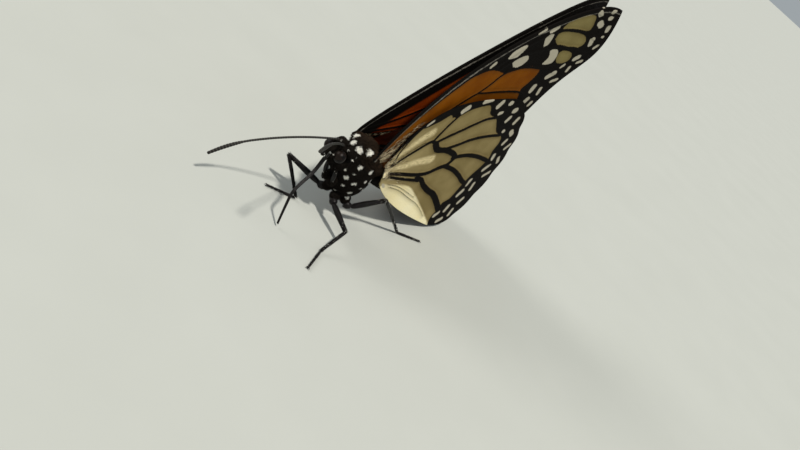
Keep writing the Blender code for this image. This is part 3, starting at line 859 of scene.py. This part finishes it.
def white_spots():
    """The places and radii of the body's white spots on its left side."""
    spots = []
    for around, tail, radius in COLLAR_SPOTS + SHOULDER_SPOTS + FLANK_SPOTS + REAR_SPOTS:
        unit_y = (tail - THORAX_MIDDLE[1]) / THORAX_HALF[1]
        ring = sqrt(max(0.02, 1.0 - unit_y ** 2))
        unit = (ring * sin(radians(around)), unit_y, ring * cos(radians(around)))
        place = lean_thorax(unit, [h - COAT_DEPTH["thorax"] for h in THORAX_HALF])
        spots.append((place, radius))
    spots += [(Vector(s[:3]), s[3]) for s in HEAD_SPOTS]
    for i in range(6):
        spots.append((Vector((1.35 - 0.10 * i, 8.6 + 1.9 * i, -2.15 + 0.35 * i)), 0.26))
        spots.append((Vector((0.45, 8.6 + 1.9 * i, -2.9 + 0.40 * i)), 0.20))
    return spots


def body_marks(places):
    """How far places in the insect's frame are outside the white spots, and how brown."""
    pale = np.full(len(places), FAR_OFF)
    mirrored = np.abs(places[:, 0])
    for place, radius in white_spots():
        step = np.column_stack((mirrored - place.x, (places[:, 1] - place.y) * 0.86, places[:, 2] - place.z))
        wobble = 0.12 * np.sin(5.0 * places[:, 2] + 7.0 * place.y) * np.cos(4.0 * places[:, 1] + place.z)
        pale = np.minimum(pale, np.linalg.norm(step, axis=1) - radius * (1.0 + wobble))
    back = np.clip((places[:, 2] - 0.4 + 0.25 * (places[:, 1] + 2.0)) / 2.2, 0, 1)
    back = back * np.clip((places[:, 1] + 3.2) / 1.6, 0, 1)
    back = np.where(places[:, 1] > 6.5, 0.35 * np.clip(places[:, 2] + 0.5, 0, 1), back)
    return pale, back


def make_skin(material):
    """Thorax, head and abdomen as one closed skin with a neck, waist, hips and wing roots."""
    bm = bmesh.new()
    add_ball(bm, [h - COAT_DEPTH["thorax"] for h in THORAX_HALF], reshape=lean_thorax)
    add_ball(bm, [h - COAT_DEPTH["head"] for h in HEAD_HALF], HEAD_MIDDLE)
    add_ball(bm, COAT_DEPTH["abdomen"], reshape=abdomen_place, rings=90)
    for half, middle in MIDDLE_FORMS:
        add_ball(bm, half, middle)
    for side, _ in SIDES:
        for half, (outward, tailward, up) in SIDE_FORMS:
            add_ball(bm, half, (side * outward, tailward, up))
    rough = bpy.data.meshes.new("rough_skin")
    bm.to_mesh(rough)
    bm.free()
    draft = put("rough_skin", rough)
    merge = draft.modifiers.new("merge", "REMESH")
    merge.mode = "VOXEL"
    merge.voxel_size = 0.13
    ease = draft.modifiers.new("ease", "SMOOTH")
    ease.factor = 0.5
    ease.iterations = 7
    bpy.context.view_layer.update()
    mesh = bpy.data.meshes.new_from_object(draft.evaluated_get(bpy.context.evaluated_depsgraph_get()))
    bpy.data.objects.remove(draft)
    mesh.name = "body_skin"
    mesh.materials.clear()
    places = coordinates(mesh)
    normals = np.array([tuple(p.normal) for p in mesh.polygons])
    corners = np.array([tuple(p.vertices) for p in mesh.polygons])
    pale, brown = body_marks(places)
    write_reading(mesh, "pale", pale)
    write_reading(mesh, "brown", brown)
    mesh.vertices.foreach_set("co", stand_up(places).ravel())
    mesh.update()
    mesh.shade_smooth()
    finish_piece("body_skin", mesh, (material,), ("thorax", "head", "abdomen"))
    return places, normals, corners


# ---------------- coat
def scatter(places, normals, corners, count, keep):
    """Roots spread evenly over a skin, with the way out of the skin at each."""
    first, second, _, last = (places[column] for column in corners.T)
    area = np.linalg.norm(np.cross(second - first, last - first), axis=1)
    area *= keep(places[corners].mean(axis=1))
    chosen = CHANCE.choice(len(corners), size=count, p=area / area.sum())
    a, b = CHANCE.random((2, count, 1))
    roots = first[chosen] + a * (second - first)[chosen] + b * (last - first)[chosen]
    return roots, normals[chosen]


def unit_rows(rows):
    return rows / np.maximum(1e-9, np.linalg.norm(rows, axis=1))[:, None]


def combed(normals, flow, lift, spread):
    """Directions that lie along the skin the way the coat is combed, raised by lift."""
    flow = flow + CHANCE.normal(0.0, spread, flow.shape)
    flow = unit_rows(flow - (flow * normals).sum(axis=1)[:, None] * normals)
    lift = np.asarray(lift)[:, None]
    return unit_rows(flow * np.cos(lift) + normals * np.sin(lift))


# a tuft's blade: the corners of its three sides, its end faces, and its corners on the map
BLADE_SIDES = np.array([(0, 1, 4, 3), (1, 2, 5, 4), (2, 0, 3, 5)])
BLADE_ENDS = np.array([(3, 4, 6), (4, 5, 6), (5, 3, 6), (0, 2, 1)])
BLADE_MAP = np.array([(0.0, 0.0), (1.0, 0.0), (0.5, 0.0), (0.1, 0.55), (0.9, 0.55), (0.5, 0.55), (0.5, 1.0)])
BLADE_SHARE = (0, 0, 0, 0.5, 0.5, 0.5, 1.0)


def make_tufts(name, material, roots, normals, ways, lengths, widths, unwrap, readings,
               strands=3, droop=0.35):
    """Thin tapering blades of three sides, a few to a tuft, joined in one mesh.

    Each tuft's share of the OFBake map is a small patch at its root's place on the skin."""
    count = len(roots)
    side = unit_rows(np.cross(ways, normals))
    verts, tones = [], []
    for _ in range(strands):
        turn = CHANCE.normal(0.0, 0.22, (count, 1))
        way = unit_rows(ways + side * turn + normals * CHANCE.normal(0.0, 0.08, (count, 1)))
        start = roots + side * CHANCE.normal(0.0, 0.03, (count, 1)) - normals * 0.03
        length = (lengths * CHANCE.uniform(0.7, 1.1, count))[:, None]
        width = (widths * CHANCE.uniform(0.8, 1.2, count))[:, None]
        out = unit_rows(np.cross(side, way))
        rows = []
        for share, girth in ((0.0, 1.0), (0.55, 0.8)):
            middle = start + way * length * share - normals * (droop * share ** 2) * length * 0.5
            rows += [middle + side * width * girth * 0.5, middle - side * width * girth * 0.5,
                     middle + out * width * girth * 0.3]
        rows.append(start + way * length - normals * droop * length * 0.5)
        verts.append(np.stack(rows, axis=1).reshape(-1, 3))
        tones.append(np.repeat(CHANCE.random(count), 7))
    verts = np.vstack(verts)
    starts = 7 * np.arange(strands * count)[:, None, None]
    quads = (starts + BLADE_SIDES).reshape(-1, 4)
    threes = (starts + BLADE_ENDS).reshape(-1, 3)
    bake = np.tile((unwrap[:, None] + (BLADE_MAP - 0.5) * MAP_PATCH).reshape(-1, 2), (strands, 1))
    mesh = bpy.data.meshes.new(name)
    mesh.vertices.add(len(verts))
    mesh.vertices.foreach_set("co", stand_up(verts).ravel())
    loops = np.concatenate((quads.ravel(), threes.ravel()))
    mesh.loops.add(len(loops))
    mesh.loops.foreach_set("vertex_index", loops)
    mesh.polygons.add(len(quads) + len(threes))
    begins = np.concatenate((np.arange(len(quads)) * 4, len(quads) * 4 + np.arange(len(threes)) * 3))
    mesh.polygons.foreach_set("loop_start", begins)
    mesh.update(calc_edges=True)
    layer = mesh.uv_layers.new(name="OFBake")
    layer.data.foreach_set("uv", bake[loops].astype(np.float32).ravel())
    for key, values in readings.items():
        write_reading(mesh, key, np.tile(np.repeat(values, 7), strands))
    write_reading(mesh, "tip", np.tile(BLADE_SHARE, strands * count))
    write_reading(mesh, "tone", np.concatenate(tones))
    mesh.shade_smooth()
    mesh.validate()
    finish_piece(name, mesh, (material,))


def body_unwrap(roots):
    """Round the body and along it, as a tube opened along the belly."""
    middle = np.interp(roots[:, 1], (-8, -4, 2, 7, 22), (-0.7, -1.1, -1.5, -1.4, 0.0))
    around = np.arctan2(roots[:, 0], roots[:, 2] - middle) / (2 * pi) + 0.5
    return np.column_stack((0.02 + 0.96 * around, 0.02 + 0.96 * (roots[:, 1] + 8.0) / 30.0))


def make_coat(skin, material):
    """The tufts of head, thorax and abdomen, from the face to the tail, in four pieces."""
    places, normals, corners = skin

    def keep(centres):
        share = np.where(centres[:, 1] < HEAD_END, 1.5, np.where(centres[:, 1] > ABDOMEN_COAT, 0.55, 1.0))
        for side, _ in SIDES:
            eye = np.array((side * EYE_MIDDLE[0], EYE_MIDDLE[1], EYE_MIDDLE[2]))
            share = np.where(np.linalg.norm(centres - eye, axis=1) < EYE_RADIUS + 0.12, 0.0, share)
        return share

    roots, outs = scatter(places, normals, corners, COAT_TUFTS, keep)
    pale, brown = body_marks(roots)
    head = roots[:, 1] < HEAD_END
    tail = roots[:, 1] > ABDOMEN_COAT
    flow = np.zeros_like(roots)
    flow[:, 1] = 1.0
    flow[:, 2] = np.where(head, 0.25, -0.35)
    flow[head, 0] = 0.35 * np.sign(roots[head, 0])
    flow[:, 0] += 0.25 * np.sign(roots[:, 0]) * np.clip(roots[:, 2], 0, 1)
    long = 0.50 + 0.55 * brown
    crown = head & (roots[:, 2] > 0.35) & (roots[:, 1] < -5.9)
    long = np.where(head, np.where(crown, 0.62, 0.34), long)
    long = np.where(tail, 0.36, long)
    long = np.where(pale < 0.05, 0.34, long) * CHANCE.uniform(0.8, 1.25, len(roots))
    lift = np.where(head, 0.35, 0.38) + 0.18 * brown + CHANCE.normal(0.0, 0.10, len(roots))
    lift = np.where(crown, lift + 0.55, lift)
    lift = np.clip(np.where(tail, 0.16, lift), 0.05, 1.1)
    ways = combed(outs, flow, lift, 0.22)
    wide = np.where(pale < 0.05, 0.085, 0.055)
    unwrap = body_unwrap(roots)
    order = np.argsort(roots[:, 1])
    for part, share in enumerate(np.array_split(order, 4)):
        make_tufts("body_coat_%d" % (part + 1), material, roots[share], outs[share],
                   ways[share], long[share], wide[share], unwrap[share],
                   {"pale": pale[share], "brown": brown[share]})


def root_hair_finish():
    """Long hair of the wing roots, each hair somewhere from dark brown to cream."""
    paint = Finish("wing_root_hair", roughness=0.6, specular_ior_level=0.15)
    tone = paint.plus(paint.reading("tone"), paint.reading("pale"))
    dark = paint.mix(paint.ramp(tone, 0.0, 0.5), (0.010, 0.007, 0.005), (0.10, 0.060, 0.030))
    return paint.shade(paint.mix(paint.ramp(tone, 0.5, 1.0), dark, (0.86, 0.76, 0.50)))


def make_root_hair(material):
    """Hair combed outwards over each wing's root, on the face turned away from the body."""
    fore = (FOREWING_HINGE, FOREWING_SWEEP, forewing_outward)
    hind = (HINDWING_HINGE, HINDWING_SWEEP, hindwing_outward)
    beds = (("forewing", fore, (0.2, -0.1), (9.0, 4.6), 620, 0.0),
            ("hindwing", hind, (0.0, -4.6), (5.0, 6.5), 260, 0.10),
            ("wing_joint", hind, (-0.3, 0.2), (0.9, 3.4), 220, 1.0))
    for label, (hinge, sweep, outward), low, high, count, shade in beds:
        for side, mark in SIDES:
            along = low[0] + (high[0] - low[0]) * CHANCE.random(count) ** 2.4
            spread = np.clip(0.35 + along / 7.0, 0, 1)
            across = (low[1] + (high[1] - low[1]) * CHANCE.random(count)) * spread
            roots = []
            for a, c in zip(along, across):
                tailward, up = from_hinge(hinge, sweep, a, c)
                roots.append((side * (outward(tailward, up, side) + 0.10), tailward, up))
            outs = np.tile((float(side), 0.0, 0.0), (count, 1))
            flow = np.tile((0.0, -cos(sweep), sin(sweep)), (count, 1))
            flow += np.outer(across * 0.10, (0.0, sin(sweep), cos(sweep)))
            ways = combed(outs, flow, CHANCE.uniform(0.04, 0.22, count), 0.14)
            lengths = CHANCE.uniform(0.7, 1.4, count) * (0.45 if shade == 1.0 else 1.0)
            unwrap = np.column_stack((0.02 + 0.9 * (along + 2) / 50.0, 0.1 + 0.8 * (across + 10) / 40.0))
            make_tufts("%s_root_hair_%s" % (label, mark), material, np.array(roots), outs,
                       ways, lengths, np.full(count, 0.045), unwrap, {"pale": np.full(count, shade)},
                       strands=2, droop=0.15)


# ---------------- limbs, feelers and mouth
def tube(bm, points, radii, sides=10, press=1.0):
    """A closed tube through the points: a ring is drawn out from place to place and capped."""
    points = [Vector(p) for p in points]
    ring = bmesh.ops.create_circle(bm, cap_ends=True, radius=1.0, segments=sides)["verts"]
    circle = [v.co.copy() for v in ring]
    ring[0].link_faces[0].normal_flip()
    edges = list(dict.fromkeys(e for v in ring for e in v.link_edges))
    frame_x = None
    for step, (point, radius) in enumerate(zip(points, radii)):
        before = points[max(0, step - 1)]
        after = points[min(len(points) - 1, step + 1)]
        ahead = (after - before).normalized()
        if frame_x is None:
            frame_x = ahead.orthogonal().normalized()
            if abs(ahead.z) < 0.9:
                frame_x = Vector((0, 0, 1)).cross(ahead).normalized()
        frame_x = (frame_x - ahead * frame_x.dot(ahead)).normalized()
        frame_y = ahead.cross(frame_x)
        if step:
            drawn = bmesh.ops.extrude_edge_only(bm, edges=edges)
            new = [item for item in drawn["geom"] if isinstance(item, bmesh.types.BMVert)]
            edges = [item for item in drawn["geom"] if isinstance(item, bmesh.types.BMEdge)
                     and all(v in new for v in item.verts)]
            ring = [next(e.other_vert(v) for e in v.link_edges if e.other_vert(v) in new) for v in ring]
        for vert, flat in zip(ring, circle):
            vert.co = point + (frame_x * flat.x + frame_y * flat.y * press) * radius
    bmesh.ops.contextual_create(bm, geom=edges)


def bent(points, steps=6):
    return [Vector(p) for p in smooth_run([tuple(p) for p in points], steps)]


def limb(bm, run, shares, radii, sides):
    """A tube whose radius changes at some shares of its length."""
    tube(bm, run, np.interp(np.linspace(0, 1, len(run)), shares, radii), sides)


def roots_on(run, count, radius):
    """Roots scattered over a rounded limb: place, way out, way on, and share round and along."""
    for _ in range(count):
        at = CHANCE.random() * (len(run) - 1.001)
        i = int(at)
        ahead = (run[i + 1] - run[i]).normalized()
        turn = CHANCE.random() * 2 * pi
        side = ahead.orthogonal().normalized()
        out = side * cos(turn) + ahead.cross(side) * sin(turn)
        yield run[i].lerp(run[i + 1], at - i) + out * radius, out, ahead, (turn / (2 * pi), at / len(run))


def fur_limb(name, coat, run, count, radius, flow, lift, length, width, white):
    """Fur combed over a limb; white() says which roots carry white hair."""
    roots, outs, _, shares = (np.array(rows) for rows in zip(*roots_on(run, count, radius)))
    ways = combed(outs, np.tile(flow, (count, 1)), np.full(count, lift), 0.2)
    make_tufts(name, coat, roots, outs, ways, np.full(count, length), np.full(count, width),
               0.02 + 0.96 * shares, {"pale": np.where(white(roots), -1.0, 1.0), "brown": np.zeros(count)})


def leg_places(hip, coxa, knee, ankle, toe):
    """The places of part.py's leg, in the insect's frame, ankle and toe lying on the floor."""
    back = STAND.inverted()
    ends = []
    for x, y in (ankle, toe):
        spot = STAND @ Vector((x, y, floor_line(y)))
        ends.append(back @ Vector((spot.x, spot.y, FOOT_HEIGHT)))
    return Vector(hip), Vector(coxa), Vector(knee), ends[0], ends[1]


LEGS = {
    "middle_leg_left": ((1.4, 2.1, -7.4), (2.4, 1.5, -7.6), (7.5, 1.1, -8.6), (9.1, -3.3), (12.1, -8.6)),
    "hind_leg_left": ((1.8, 5.0, -7.1), (2.7, 5.8, -6.7), (5.1, 8.0, -1.9), (5.9, 19.1), (8.3, 24.1)),
    "middle_leg_right": ((-1.4, 2.1, -7.4), (-2.2, 1.3, -7.5), (-6.6, -3.8, -7.3),
                         (-1.9, -0.6), (-4.7, -5.2)),
    "hind_leg_right": ((-1.8, 5.0, -7.1), (-2.7, 5.6, -6.7), (-5.3, 7.4, -3.0), (-7.2, 11.0), (-10.6, 14.6)),
}


def make_leg(name, data, horn, bristle_finish):
    """Hip, thigh, shin, five-jointed foot, two claws and a pad, with bristles combed down it."""
    hip, coxa, knee, ankle, toe = leg_places(*data)
    floor_up = (STAND.inverted().to_3x3() @ Vector((0, 0, 1))).normalized()
    bm = bmesh.new()
    limb(bm, bent((hip, hip.lerp(coxa, 0.6), coxa)), (0, 0.4, 1), (0.62, 0.70, 0.40), 14)
    thigh = bent((coxa, coxa.lerp(knee, 0.35), coxa.lerp(knee, 0.7), knee), 8)
    limb(bm, thigh, (0, 0.1, 0.35, 0.8, 0.94, 1), (0.34, 0.47, 0.52, 0.38, 0.33, 0.26), 14)
    shin_end = ankle + floor_up * 0.16
    shin = bent((knee, knee.lerp(shin_end, 0.5) + floor_up * 0.05, shin_end), 12)
    limb(bm, shin, (0, 0.06, 0.35, 0.85, 0.97, 1), (0.26, 0.30, 0.31, 0.22, 0.27, 0.20), 14)
    foot = toe - ankle
    ends = (0.0, 0.40, 0.56, 0.70, 0.82, CLAW_START)
    for number, (start, stop) in enumerate(zip(ends, ends[1:])):
        a = ankle + foot * (start + 0.008)
        b = ankle + foot * stop
        wide = 0.235 - 0.012 * number
        joint = [a, a.lerp(b, 0.15), a.lerp(b, 0.85), b]
        tube(bm, joint, (wide * 0.7, wide * 0.92, wide * 1.02, wide * 0.8), 12, 0.95)
    ahead = foot.normalized()
    across = ahead.cross(floor_up).normalized()
    last = ankle + foot * CLAW_START
    for side, _ in SIDES:
        run = bent([last + across * side * out + ahead * on + floor_up * rise for out, on, rise in
                    ((0.10, 0, 0), (0.20, 0.14, 0.06), (0.27, 0.25, -0.03), (0.27, 0.29, -0.16))], 4)
        limb(bm, run, (0, 0.6, 1), (0.075, 0.05, 0.012), 8)
    pad = [last, last + ahead * 0.12 - floor_up * 0.08, last + ahead * 0.2 - floor_up * 0.12]
    tube(bm, pad, (0.12, 0.13, 0.09), 10, 0.6)
    nodes = [name + part for part in ("_femur", "_tibia", "_tarsus")]
    drawn_piece("walking_" + name, bm, horn, nodes, 50.0)

    hairy = "hind" in name
    parts = ((thigh, 0.3864, 520, 0.26), (shin, 0.27, 620 if hairy else 420, 0.30),
             ([ankle, toe], 0.184, 260, 0.15))
    beds = []
    for part, (run, radius, number, size) in enumerate(parts):
        for root, out, ahead, (around, along) in roots_on(run, number, radius):
            if part and (STAND @ root).z < BARE_HEIGHT:
                continue
            beds.append((root, out, ahead, size * CHANCE.uniform(0.7, 1.3), (around, (along + part) / 3)))
    roots, outs, flows, lengths, shares = (np.array(rows) for rows in zip(*beds))
    ways = combed(outs, flows, np.full(len(roots), 0.32), 0.12)
    grey = CHANCE.random(len(roots))
    pale = np.where(grey > (0.86 if hairy else 0.94), -1.0, 1.0)
    make_tufts("bristles_" + name, bristle_finish, roots, outs, ways, lengths,
               np.full(len(roots), 0.035), 0.02 + 0.96 * shares,
               {"pale": pale, "brown": np.zeros(len(roots))}, strands=2, droop=0.1)


def make_forelegs(horn, coat):
    """The two small front legs, folded and furred, held against the breast."""
    for side, mark in SIDES:
        points = [Vector((side * (1.0 + 0.15 * sin(pi * i / 5)), -1.95 - 0.42 * i, -4.9 + 0.48 * i))
                  for i in range(6)]
        run = bent(points, 4)
        bm = bmesh.new()
        limb(bm, run, (0, 0.2, 0.5, 0.8, 1), (0.22, 0.30, 0.33, 0.28, 0.16), 12)
        drawn_piece("folded_foreleg_" + mark, bm, horn, ("foreleg_" + mark,))
        fur_limb("foreleg_fur_" + mark, coat, run, 420, 0.26, (0.0, -0.5, 0.7), 0.28, 0.30, 0.05,
                 lambda roots: CHANCE.random(len(roots)) > 0.93)


def make_feeler(mark, root, direction, bow, horn):
    """A ringed feeler that swells to a smooth club over its last fifth."""
    root, direction = Vector(root), Vector(direction).normalized()
    count = 200
    points, radii, rings = [], [], []
    for i in range(count + 1):
        t = i / count
        nod = max(0.0, (t - 0.70) / 0.30) ** 2
        points.append(root + direction * ANTENNA_LENGTH * t + Vector(bow) * 4 * t * (1 - t)
                      + Vector((0.0, 0.3, -1.1)) * nod)
        club = max(0.0, (t - 0.76) / 0.24)
        radius = 0.17 + 0.05 * max(0.0, 1 - t / 0.03) + 0.11 * sin(pi * club ** 0.8 * 0.85)
        phase = (t * 50.0) % 1.0
        radii.append(radius * (1.0 - 0.13 * max(0.0, cos(2 * pi * phase)) ** 3))
        rings.append(max(0.0, cos(2 * pi * phase)) ** 2)
    radii[-1] *= 0.5
    bm = bmesh.new()
    tube(bm, points, radii, 12)
    bm.verts.ensure_lookup_table()
    along = [min(range(count + 1), key=lambda i: (v.co - points[i]).length_squared) for v in bm.verts]
    mesh = mesh_of(bm, "feeler_" + mark)
    write_reading(mesh, "ring", [rings[i] for i in along])
    finish_piece("feeler_" + mark, mesh, (horn,), ("antenna_" + mark,))
    bm = bmesh.new()
    add_ball(bm, (0.30, 0.30, 0.26), root + direction * 0.05, sides=24, rings=16)
    drawn_piece("feeler_socket_" + mark, bm, horn)


def make_mouth(horn, coat):
    """The feeding tube of two grooved halves, and the two furred palps beside it."""
    count = 120
    points = []
    for i in range(count + 1):
        t = i / count
        ahead = 2.5 * sin(pi / 2 * min(1.0, t / 0.62)) ** 3 - 1.6 * max(0.0, t - 0.62)
        points.append(Vector((3.65 * t ** 1.2, -7.05 - ahead, -2.45 - 11.0 * t)))
    points = [Vector((0.0, -7.0, -2.2))] + points
    bm = bmesh.new()
    radii = [0.34 - 0.15 * min(1.0, i / count) for i in range(count + 2)]
    radii = [r * (1.0 - 0.06 * (i % 2)) for i, r in enumerate(radii)]
    for side, _ in SIDES:
        half = [p + Vector((side * r * 0.42, 0, 0)) for p, r in zip(points, radii)]
        tube(bm, half, [r * 0.62 for r in radii], 12)
    drawn_piece("feeding_tube", bm, horn, ("proboscis",))
    for side, mark in SIDES:
        places = [Vector((side * (0.42 + 0.04 * i), -7.8 - 0.10 * i, -2.1 + 0.45 * i)) for i in range(5)]
        run = bent([Vector((side * 0.40, -7.35, -2.05))] + places, 5)
        bm = bmesh.new()
        limb(bm, run, (0, 0.3, 0.6, 0.9, 1), (0.16, 0.22, 0.22, 0.16, 0.06), 12)
        drawn_piece("lip_palp_" + mark, bm, horn, ("palp_" + mark,))
        fur_limb("palp_fur_" + mark, coat, run, 300, 0.18, (0.0, -0.2, 1.0), 0.3, 0.22, 0.045,
                 lambda roots: (roots[:, 0] * side > 0.5) & (np.abs(roots[:, 2] + 1.3) < 0.5))


def make_eyes(material):
    for side, mark in SIDES:
        bm = bmesh.new()
        bmesh.ops.create_icosphere(bm, subdivisions=5, radius=EYE_RADIUS - 0.04)
        bmesh.ops.scale(bm, vec=(0.96, 1.0, 1.04), verts=bm.verts)
        middle = (side * (EYE_MIDDLE[0] - 0.05), EYE_MIDDLE[1], EYE_MIDDLE[2])
        bmesh.ops.translate(bm, vec=middle, verts=bm.verts)
        drawn_piece("eye_dome_" + mark, bm, material, ("eye_" + mark,))


def main():
    make_camera()
    make_studio()
    make_wings()
    fur_skin = fur_finish("fur_skin", False)
    fur_coat = fur_finish("fur_coat", True)
    horn = cuticle_finish()
    make_coat(make_skin(fur_skin), fur_coat)
    make_root_hair(root_hair_finish())
    make_eyes(eye_finish())
    for name, data in LEGS.items():
        make_leg(name, data, horn, fur_coat)
    make_forelegs(horn, fur_coat)
    make_mouth(horn, fur_coat)
    ringed = feeler_finish()
    make_feeler("right", (-0.62, -7.4, 1.15), (-0.35, -0.63, -0.70), (-0.45, -0.12, 0.62), ringed)
    make_feeler("left", (0.62, -7.4, 1.15), (0.40, -0.91, 0.09), (0.1, 0.0, 0.45), ringed)


main()
